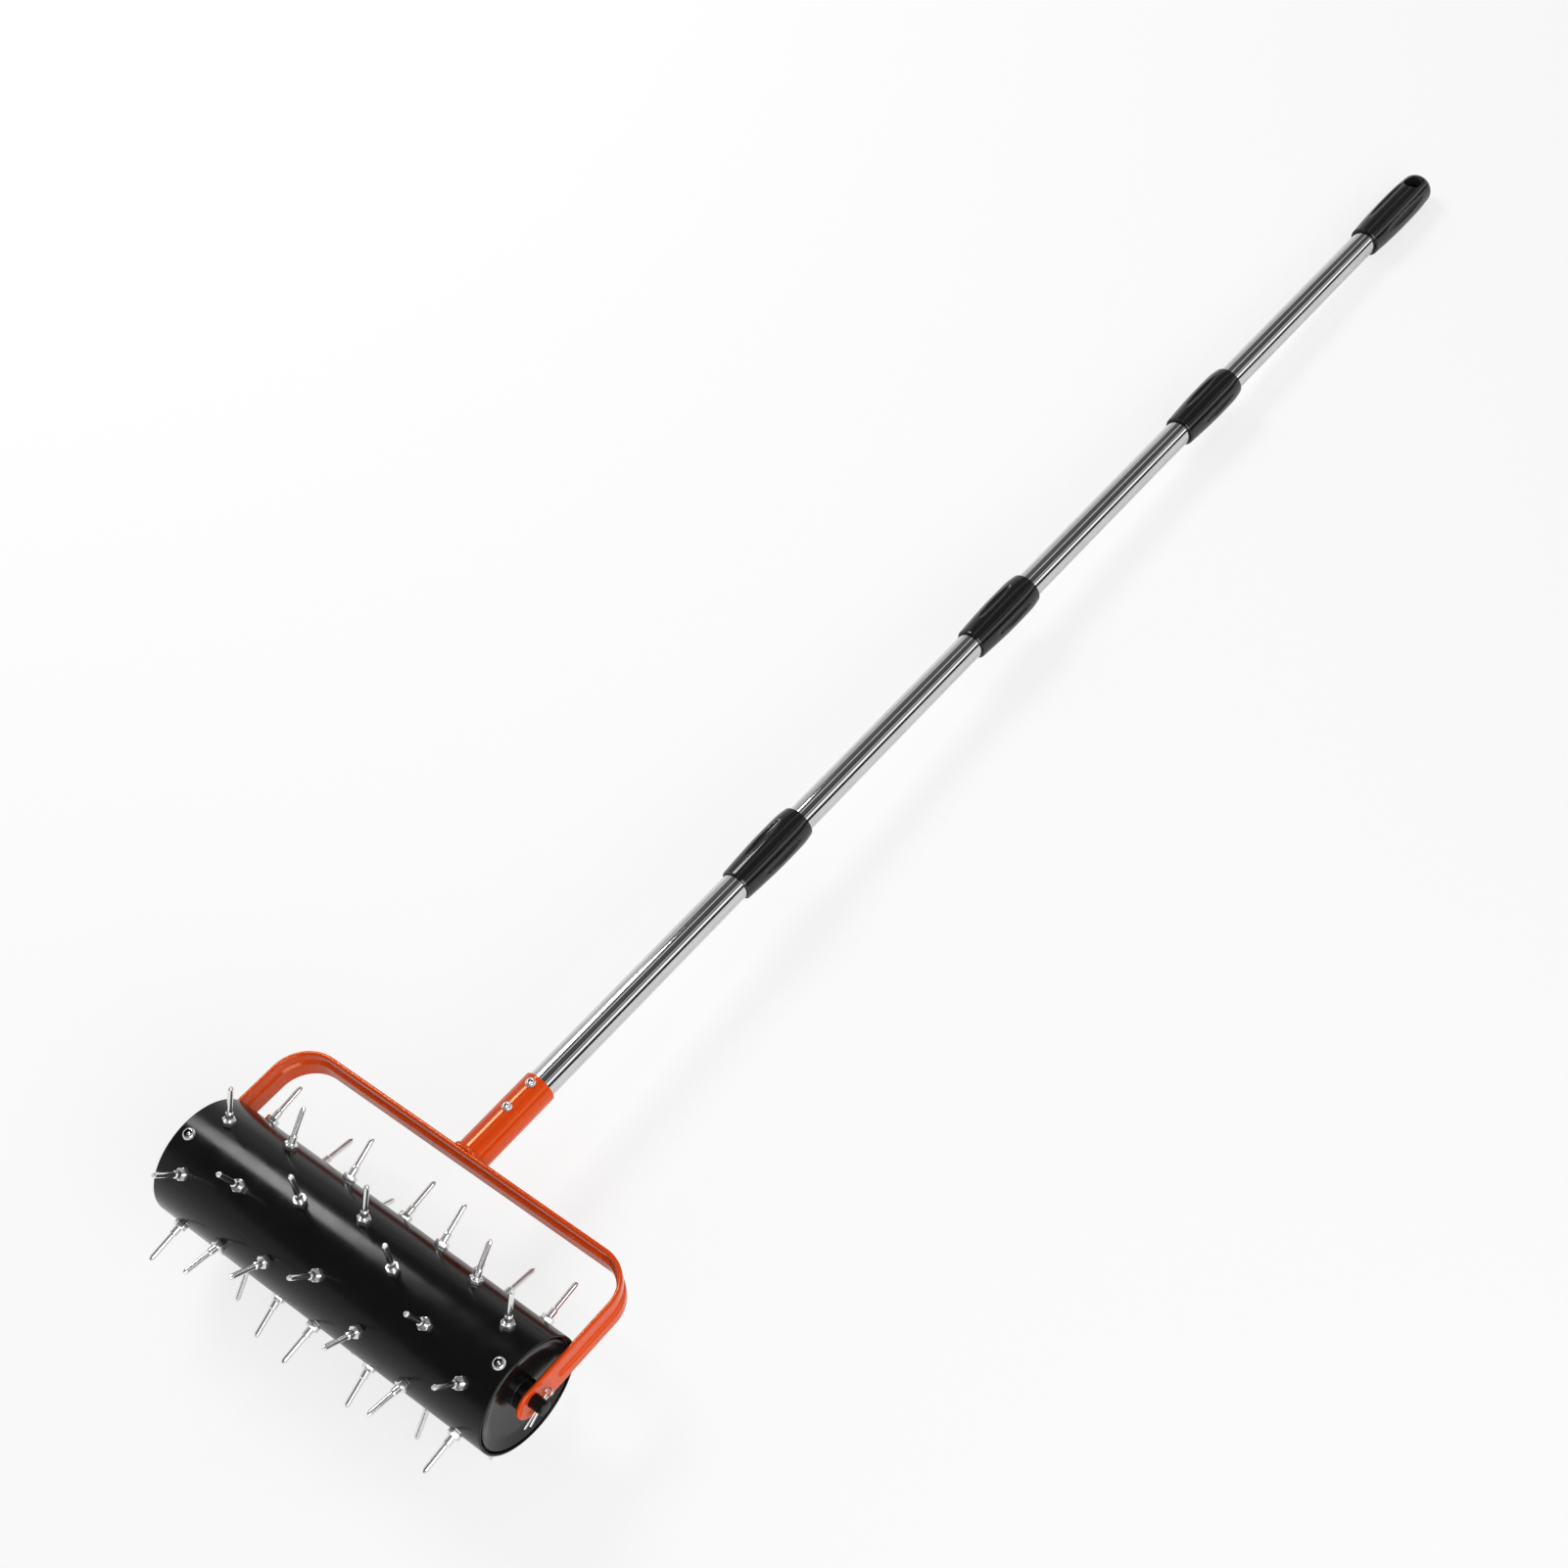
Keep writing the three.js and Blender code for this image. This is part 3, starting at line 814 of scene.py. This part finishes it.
def split_pin_mesh():
    """One strand: up the short leg, round the eye and down the long leg."""
    shoulder = pin_eye_reach - pin_eye_radius - pin_strand_depth
    short_leg = pin_leg(1, pin_leg_stagger - pin_leg_reach, shoulder)
    long_leg = pin_leg(-1, -pin_leg_reach, shoulder)
    eye_centre = Vector((0, pin_eye_reach, 0))
    eye = []
    for step in range(pin_eye_steps + 1):
        turn = pin_eye_mouth + (full_turn - 2 * pin_eye_mouth) * step / pin_eye_steps
        eye.append(Vector((math.sin(turn), -math.cos(turn), 0)) * pin_eye_radius + eye_centre)
    path = short_leg + eye + long_leg[::-1]
    return strand_along(path, pin_strand_width, pin_strand_depth, pin_strand_steps)


axle_lay = handle_frame @ along_x
piece("axle_bar", axle_mesh(), axle_lay, [axle_finish], "frame", ["axle_rod"])
split_pin = split_pin_mesh()
for side, word in sides:
    spot = Matrix.Translation((side * (axle_half_length - pin_inset), 0, 0))
    lay = handle_frame @ (spot @ Matrix.Rotation(pin_turn, 4, "X"))
    piece(f"cotter_{word}", split_pin, lay, [pin_steel], "frame", [f"split_pin_{word}"])


# The yoke
def evenly(start, end, count):
    """Places from start to end in count steps, without the first."""
    return [start + (end - start) * i / count for i in range(1, count + 1)]


def yoke_path():
    """Places along the bar from one arm's end to the other: how far, where and which way is outward."""
    arm_length = crossbar_reach - bend_radius + arm_end_reach
    bend_end = arm_length + bend_radius * quarter_turn
    half_bar = arm_face - bend_radius
    whole = 2 * (bend_end + half_bar)
    runs = [x * mm for x in bar_end_rows]
    runs += [bar_fine_start + bar_fine_pitch * i for i in range(bar_fine_rows)]
    runs += evenly(runs[-1], arm_length, bar_arm_rows)
    runs += evenly(arm_length, bend_end, bar_bend_rows)
    runs += evenly(bend_end, whole / 2, bar_middle_rows)
    places = []
    for run in runs:
        if run <= arm_length:
            spot = (arm_face, run - arm_end_reach)
            out = (1, 0)
        elif run <= bend_end:
            turn = (run - arm_length) / bend_radius
            out = (math.cos(turn), math.sin(turn))
            spot = (half_bar + bend_radius * out[0], crossbar_reach - bend_radius + bend_radius * out[1])
        else:
            spot = (half_bar - (run - bend_end), crossbar_reach)
            out = (0, 1)
        places.append((run, Vector((*spot, 0)), Vector((*out, 0))))
    mirror = Vector((-1, 1, 1))
    return places + [(run, spot * mirror, out * mirror) for run, spot, out in reversed(places[:-1])]


def smooth_step(value):
    """Zero below 0, one above 1, and a smooth rise between them."""
    value = min(1, max(0, value))
    return value * value * (3 - 2 * value)


def yoke_depths(run, across):
    """How far the bar's outer and inner faces lie below its outer plane at a place."""
    half = bar_width / 2
    from_centre = math.hypot(run - half, across) if run < half else abs(across)
    to_edge = max(0, half - from_centre)
    turn_in = 0
    if to_edge < bar_edge:
        turn_in = bar_edge - math.sqrt(max(0, bar_edge**2 - (bar_edge - to_edge) ** 2))
    from_axle = math.hypot(run - arm_end_reach, across)
    dish = dish_depth * smooth_step((dish_radius - from_axle) / (dish_radius - dish_floor_radius))
    start = arm_end_reach + groove_start
    from_groove = math.hypot(run - start, across) if run < start else abs(across)
    groove_share = (groove_half_width - from_groove) / (groove_half_width - groove_floor_half_width)
    groove = groove_depth * smooth_step(groove_share)
    return dish + groove + turn_in, bar_thickness + groove - turn_in


def yoke_mesh():
    half = bar_width / 2
    rims = [half - bar_edge * share for share in bar_edge_shares]
    inner = [rims[-1] * (1 - i / bar_across_steps) for i in range(1, bar_across_steps)]
    one_side = rims + inner
    across = [-x for x in one_side] + [0] + one_side[::-1]
    verts = []
    places = yoke_path()
    for run, spot, out in places:
        reach = math.sqrt(max(0, half**2 - (half - run) ** 2)) if run < half else half
        outer_row = []
        inner_row = []
        for x in across:
            z = x / half * reach
            outer_depth, inner_depth = yoke_depths(run, z)
            outer_row.append(spot - out * outer_depth + Vector((0, 0, z)))
            inner_row.append(spot - out * inner_depth + Vector((0, 0, z)))
        verts += outer_row + inner_row[::-1]
    bar = new_mesh(verts, skin_faces(len(places), 2 * len(across), looped=False))
    hole_radius = axle_radius + fit_gap
    hole_reach = 2 * arm_face
    outline = [(0, -hole_reach), (hole_radius, -hole_reach), (hole_radius, hole_reach), (0, hole_reach)]
    hole = turned(outline, round_steps, closed=False)
    hole.transform(along_x)
    return with_cut(bar, hole)


def pipe_mesh(radius, wall, start, end, fillets):
    """A pipe along Y, with fillets at its outer start, its outer end and its inner end."""
    outer_start, outer_end, inner_end = fillets
    outline = [
        (radius - wall, start, 0),
        (radius, start, outer_start),
        (radius, end, outer_end),
        (radius - wall, end, inner_end),
    ]
    return turned(rounded(outline), tube_steps)


def weld_mesh():
    """A weld bead round the socket's foot, rippled and uneven."""
    verts = []
    for step in range(weld_steps):
        turn = full_turn * step / weld_steps
        out = Vector((math.sin(turn), 0, math.cos(turn)))
        uneven = noise.noise(out * weld_roughness_scale) * weld_roughness
        wander = weld_ripple_wander * noise.noise(out * weld_ripple_scale)
        ripple = weld_ripple_depth * math.cos(turn * weld_ripples + wander)
        size = weld_radius + uneven + ripple
        middle = out * (socket_radius - weld_sink) + Vector((0, crossbar_reach, 0))
        for i in range(weld_section_steps):
            lean = full_turn * i / weld_section_steps
            grain = noise.noise((middle + out * lean) * weld_grain_scale) * weld_grain
            rise = math.sin(lean) * (weld_rise if lean < half_turn else weld_root)
            verts.append(middle + (out * math.cos(lean) + Vector((0, rise, 0))) * (size + grain))
    return new_mesh(verts, skin_faces(weld_steps, weld_section_steps))


piece("yoke_bar", yoke_mesh(), handle_frame, [orange_paint], "frame", ["yoke_frame"])
socket = pipe_mesh(socket_radius, socket_wall, crossbar_reach, socket_end, (0, socket_edge, socket_edge))
piece("socket_tube", socket, handle_frame, [orange_paint], "frame", ["handle_socket"])
piece("socket_weld", weld_mesh(), handle_frame, [orange_paint], "frame")
socket_screw = screw_mesh(socket_screw_head_radius, socket_screw_head_height, socket_screw_key_radius)
for place, word in zip(socket_screw_places, ("upper", "lower")):
    spot = Matrix.Translation((0, place, socket_radius - fit_gap)) @ Matrix.Rotation(quarter_turn, 4, "X")
    piece(f"socket_bolt_{word}", socket_screw, handle_frame @ spot, screw_zinc_and_painted_shade, "frame",
          [f"socket_screw_{word}"])


# The handle
def smooth_outline(points):
    """A smooth curve through points of radius and place in millimetres, as places in metres."""
    knots = [Vector((r * mm, y * mm)) for r, y in points]
    result = []
    for i in range(len(knots) - 1):
        a = knots[max(i - 1, 0)]
        b = knots[i]
        c = knots[i + 1]
        d = knots[min(i + 2, len(knots) - 1)]
        for step in range(outline_steps):
            t = step / outline_steps
            slope = (c - a) * (t / 2)
            bend = (2 * a - 5 * b + 4 * c - d) * (t * t / 2)
            twist = (3 * b - a - 3 * c + d) * (t * t * t / 2)
            result.append(b + slope + bend + twist)
    result.append(knots[-1])
    return result


def with_flutes(mesh, surface_radius, centre, half_length, first_turn):
    """The outside pressed in along lens-shaped flutes with soft rims."""
    reach = flute_depth + flute_lift
    pitch = full_turn / flute_count
    for vertex in mesh.vertices:
        radius = math.hypot(vertex.co.x, vertex.co.z)
        if radius < surface_radius - flute_band:
            continue
        off = (math.atan2(vertex.co.x, vertex.co.z) - first_turn + pitch / 2) % pitch - pitch / 2
        across = surface_radius * off / flute_half_width
        along = (vertex.co.y - centre) / half_length
        left = 1 - across**2 - along**2
        if left <= 0:
            continue
        scooped = surface_radius + flute_lift - reach * math.sqrt(left)
        blend = max(0, flute_rim - abs(radius - scooped)) / flute_rim
        pressed = min(radius, scooped) - blend**2 * flute_rim * flute_rim_press
        vertex.co.x *= pressed / radius
        vertex.co.z *= pressed / radius
    return mesh


def connector_mesh():
    bore = tube_radius + fit_gap
    outside = smooth_outline(connector_outline)
    corners = [(bore, 0, plastic_mouth_fillet), (*outside[0], plastic_rim)]
    corners += [(*p, 0) for p in outside[1:-1]]
    corners += [(*outside[-1], plastic_rim), (bore, connector_length, plastic_mouth_fillet)]
    barrel = turned(rounded(corners), flute_steps)
    widest = max(radius for radius, along in connector_outline) * mm
    flute_place = connector_length / 2
    return with_flutes(barrel, widest, flute_place, connector_flute_half_length, connector_flute_turn)


def hang_hole_mesh():
    """The shape that the hang hole takes out of the grip, widened like a funnel at both ends."""
    mouth = hang_hole_mouth_radius + hang_hole_lip
    rim = grip_tip_radius * hang_hole_rim_share
    reach = grip_tip_radius * 2
    upper = [
        (hang_hole_radius, rim - hang_hole_mouth_depth),
        (hang_hole_mouth_radius, rim - hang_hole_lip),
        (mouth, rim),
        (mouth, reach),
        (0, reach),
    ]
    lower = [(radius, -along) for radius, along in reversed(upper)]
    hole = turned(lower + upper, round_steps, closed=False)
    spot = Matrix.Translation((0, grip_length - hang_hole_inset, 0))
    hole.transform(spot @ Matrix.Rotation(quarter_turn, 4, "X"))
    return hole


def grip_mesh():
    bore = tube_radius + fit_gap
    outside = smooth_outline(grip_outline)
    dome_start = grip_length - grip_dome_length
    corners = [(0, grip_mouth_depth, 0), (bore, grip_mouth_depth, 0), (bore, 0, plastic_mouth_fillet)]
    corners += [(*outside[0], plastic_rim)] + [(*p, 0) for p in outside[1:]]
    for turn in evenly(0, quarter_turn, grip_dome_steps)[:-1]:
        corners.append((grip_tip_radius * math.cos(turn), dome_start + grip_dome_length * math.sin(turn), 0))
    corners.append((0, grip_length, 0))
    body = turned(rounded(corners, closed=False), flute_steps, closed=False)
    widest = max(radius for radius, along in grip_outline) * mm
    flute_place = grip_length / 2 - grip_flute_shift
    body = with_flutes(body, widest, flute_place, grip_flute_half_length, grip_flute_turn)
    return with_cut(body, hang_hole_mesh())


for i, (start, end) in enumerate(tube_spans):
    tube = pipe_mesh(tube_radius, tube_wall, start * mm, end * mm, (tube_fillet, tube_fillet, 0))
    piece(f"tube_{i + 1}", tube, handle_frame, [tube_steel], "frame", [f"handle_tube_{i + 1}"])
connector = connector_mesh()
for i, start in enumerate(connector_starts):
    place = handle_frame @ Matrix.Translation((0, start * mm, 0))
    piece(f"barrel_{i + 1}", connector, place, [connector_plastic], "frame",
          [f"connector_{i + 1}"], plastic_sharp_angle)
place = handle_frame @ Matrix.Translation((0, grip_start, 0))
piece("grip_body", grip_mesh(), place, [grip_plastic], "frame", ["grip"], plastic_sharp_angle)


# The floor, studio, lamps and camera
def floor_material():
    """Pale and matt, partly glowing to the camera, less so near the object, and to reflections."""
    n = Nodes(bpy.data.materials.new("floor_paint"))
    finish = {
        "Base Color": (*floor_colour, 1),
        "Roughness": floor_roughness,
        "Specular IOR Level": floor_shine,
    }
    n.fill(n.shader, finish)
    glow = n.add("ShaderNodeEmission")
    mix = n.add("ShaderNodeMixShader")
    ray = n.add("ShaderNodeLightPath")
    place = n.add("ShaderNodeTexCoord")
    off_middle = n.add("ShaderNodeVectorMath", operation="LENGTH")
    ends = {
        "From Min": floor_near,
        "From Max": floor_far,
        "To Min": near_glow_share,
        "To Max": far_glow_share,
    }
    fade = n.add("ShaderNodeMapRange", ends, interpolation_type="SMOOTHSTEP")
    direct_share = n.add("ShaderNodeMath", operation="MULTIPLY")
    glow_share = n.add("ShaderNodeMath", {1: gloss_glow_share}, operation="MULTIPLY_ADD")
    n.link(place.outputs["Object"], off_middle.inputs[0])
    n.link(off_middle.outputs["Value"], fade.inputs["Value"])
    n.link(ray.outputs["Is Camera Ray"], direct_share.inputs[0])
    n.link(fade.outputs["Result"], direct_share.inputs[1])
    n.link(ray.outputs["Is Glossy Ray"], glow_share.inputs[0])
    n.link(direct_share.outputs["Value"], glow_share.inputs[2])
    n.link(glow_share.outputs["Value"], mix.inputs["Fac"])
    n.link(n.shader.outputs["BSDF"], mix.inputs[1])
    n.link(glow.outputs["Emission"], mix.inputs[2])
    n.link(mix.outputs["Shader"], n.tree.nodes["Material Output"].inputs["Surface"])
    return n.owner


def studio_grey(brightness):
    """A brightness as a grey, as a share of the studio's peak."""
    level = brightness / studio_peak
    return (level, level, level, 1)


def studio_world():
    """Stripes of light along Y, by the angle from overhead towards +X, over a pale horizon."""
    n = Nodes(bpy.data.worlds.new("studio"), "Background")
    n.fill(n.shader, {"Strength": studio_peak})
    direction = n.add("ShaderNodeTexCoord")
    parts = n.add("ShaderNodeSeparateXYZ")
    lean = n.add("ShaderNodeMath", operation="ARCTAN2")
    share = n.add("ShaderNodeMapRange", {"From Min": -quarter_turn, "From Max": quarter_turn})
    stripes = n.add("ShaderNodeValToRGB")
    stops = stripes.color_ramp.elements
    stops[0].color = studio_grey(studio_stops[0][1])
    stops[-1].color = studio_grey(studio_stops[-1][1])
    for angle, brightness in studio_stops[1:-1]:
        stops.new((math.radians(angle) + quarter_turn) / half_turn).color = studio_grey(brightness)
    ends = {"From Min": horizon_low, "From Max": horizon_high}
    height = n.add("ShaderNodeMapRange", ends, interpolation_type="SMOOTHSTEP")
    sky = n.add("ShaderNodeMix", {"A": studio_grey(pale_horizon)}, data_type="RGBA")
    n.link(direction.outputs["Generated"], parts.inputs["Vector"])
    n.link(parts.outputs["X"], lean.inputs[0])
    n.link(parts.outputs["Z"], lean.inputs[1])
    n.link(lean.outputs["Value"], share.inputs["Value"])
    n.link(share.outputs["Result"], stripes.inputs["Fac"])
    n.link(parts.outputs["Z"], height.inputs["Value"])
    n.link(height.outputs["Result"], sky.inputs["Factor"])
    n.link(stripes.outputs["Color"], sky.inputs["B"])
    n.link(sky.outputs["Result"], n.shader.inputs["Color"])
    return n.owner


def soft_light(name, place, aim, width, power):
    """A square lamp that reflections show but the camera doesn't."""
    lamp = bpy.data.lights.new(name, "AREA")
    lamp.shape = "SQUARE"
    lamp.size = width
    lamp.energy = power
    item = new_object(name, lamp)
    item.location = place
    item.rotation_euler = (Vector(aim) - Vector(place)).to_track_quat("-Z", "Y").to_euler()
    item.visible_camera = False


def photo_camera():
    """A camera where the photograph was taken from."""
    camera = bpy.data.cameras.new("camera")
    camera.lens = camera_lens
    camera.sensor_width = sensor_width
    item = new_object("camera", camera)
    item.location = camera_place
    item.rotation_euler = Euler([math.radians(angle) for angle in camera_turn])
    return item


floor_corners = [(x * floor_half, y * floor_half, 0) for x, y in ((-1, -1), (1, -1), (1, 1), (-1, 1))]
floor = new_object("floor", new_mesh(floor_corners, [(0, 1, 2, 3)]))
floor.data.materials.append(floor_material())

scene = bpy.context.scene
scene.world = studio_world()
soft_light("key_light", place=(-1.8, 0.43, 2.3), aim=(-1.8, 0.43, 0), width=1.1, power=44)
soft_light("fill_light", place=(2.2, -1.3, 1.8), aim=(0, -0.2, 0), width=2.2, power=47)
scene.camera = photo_camera()
scene.view_settings.view_transform = "Standard"
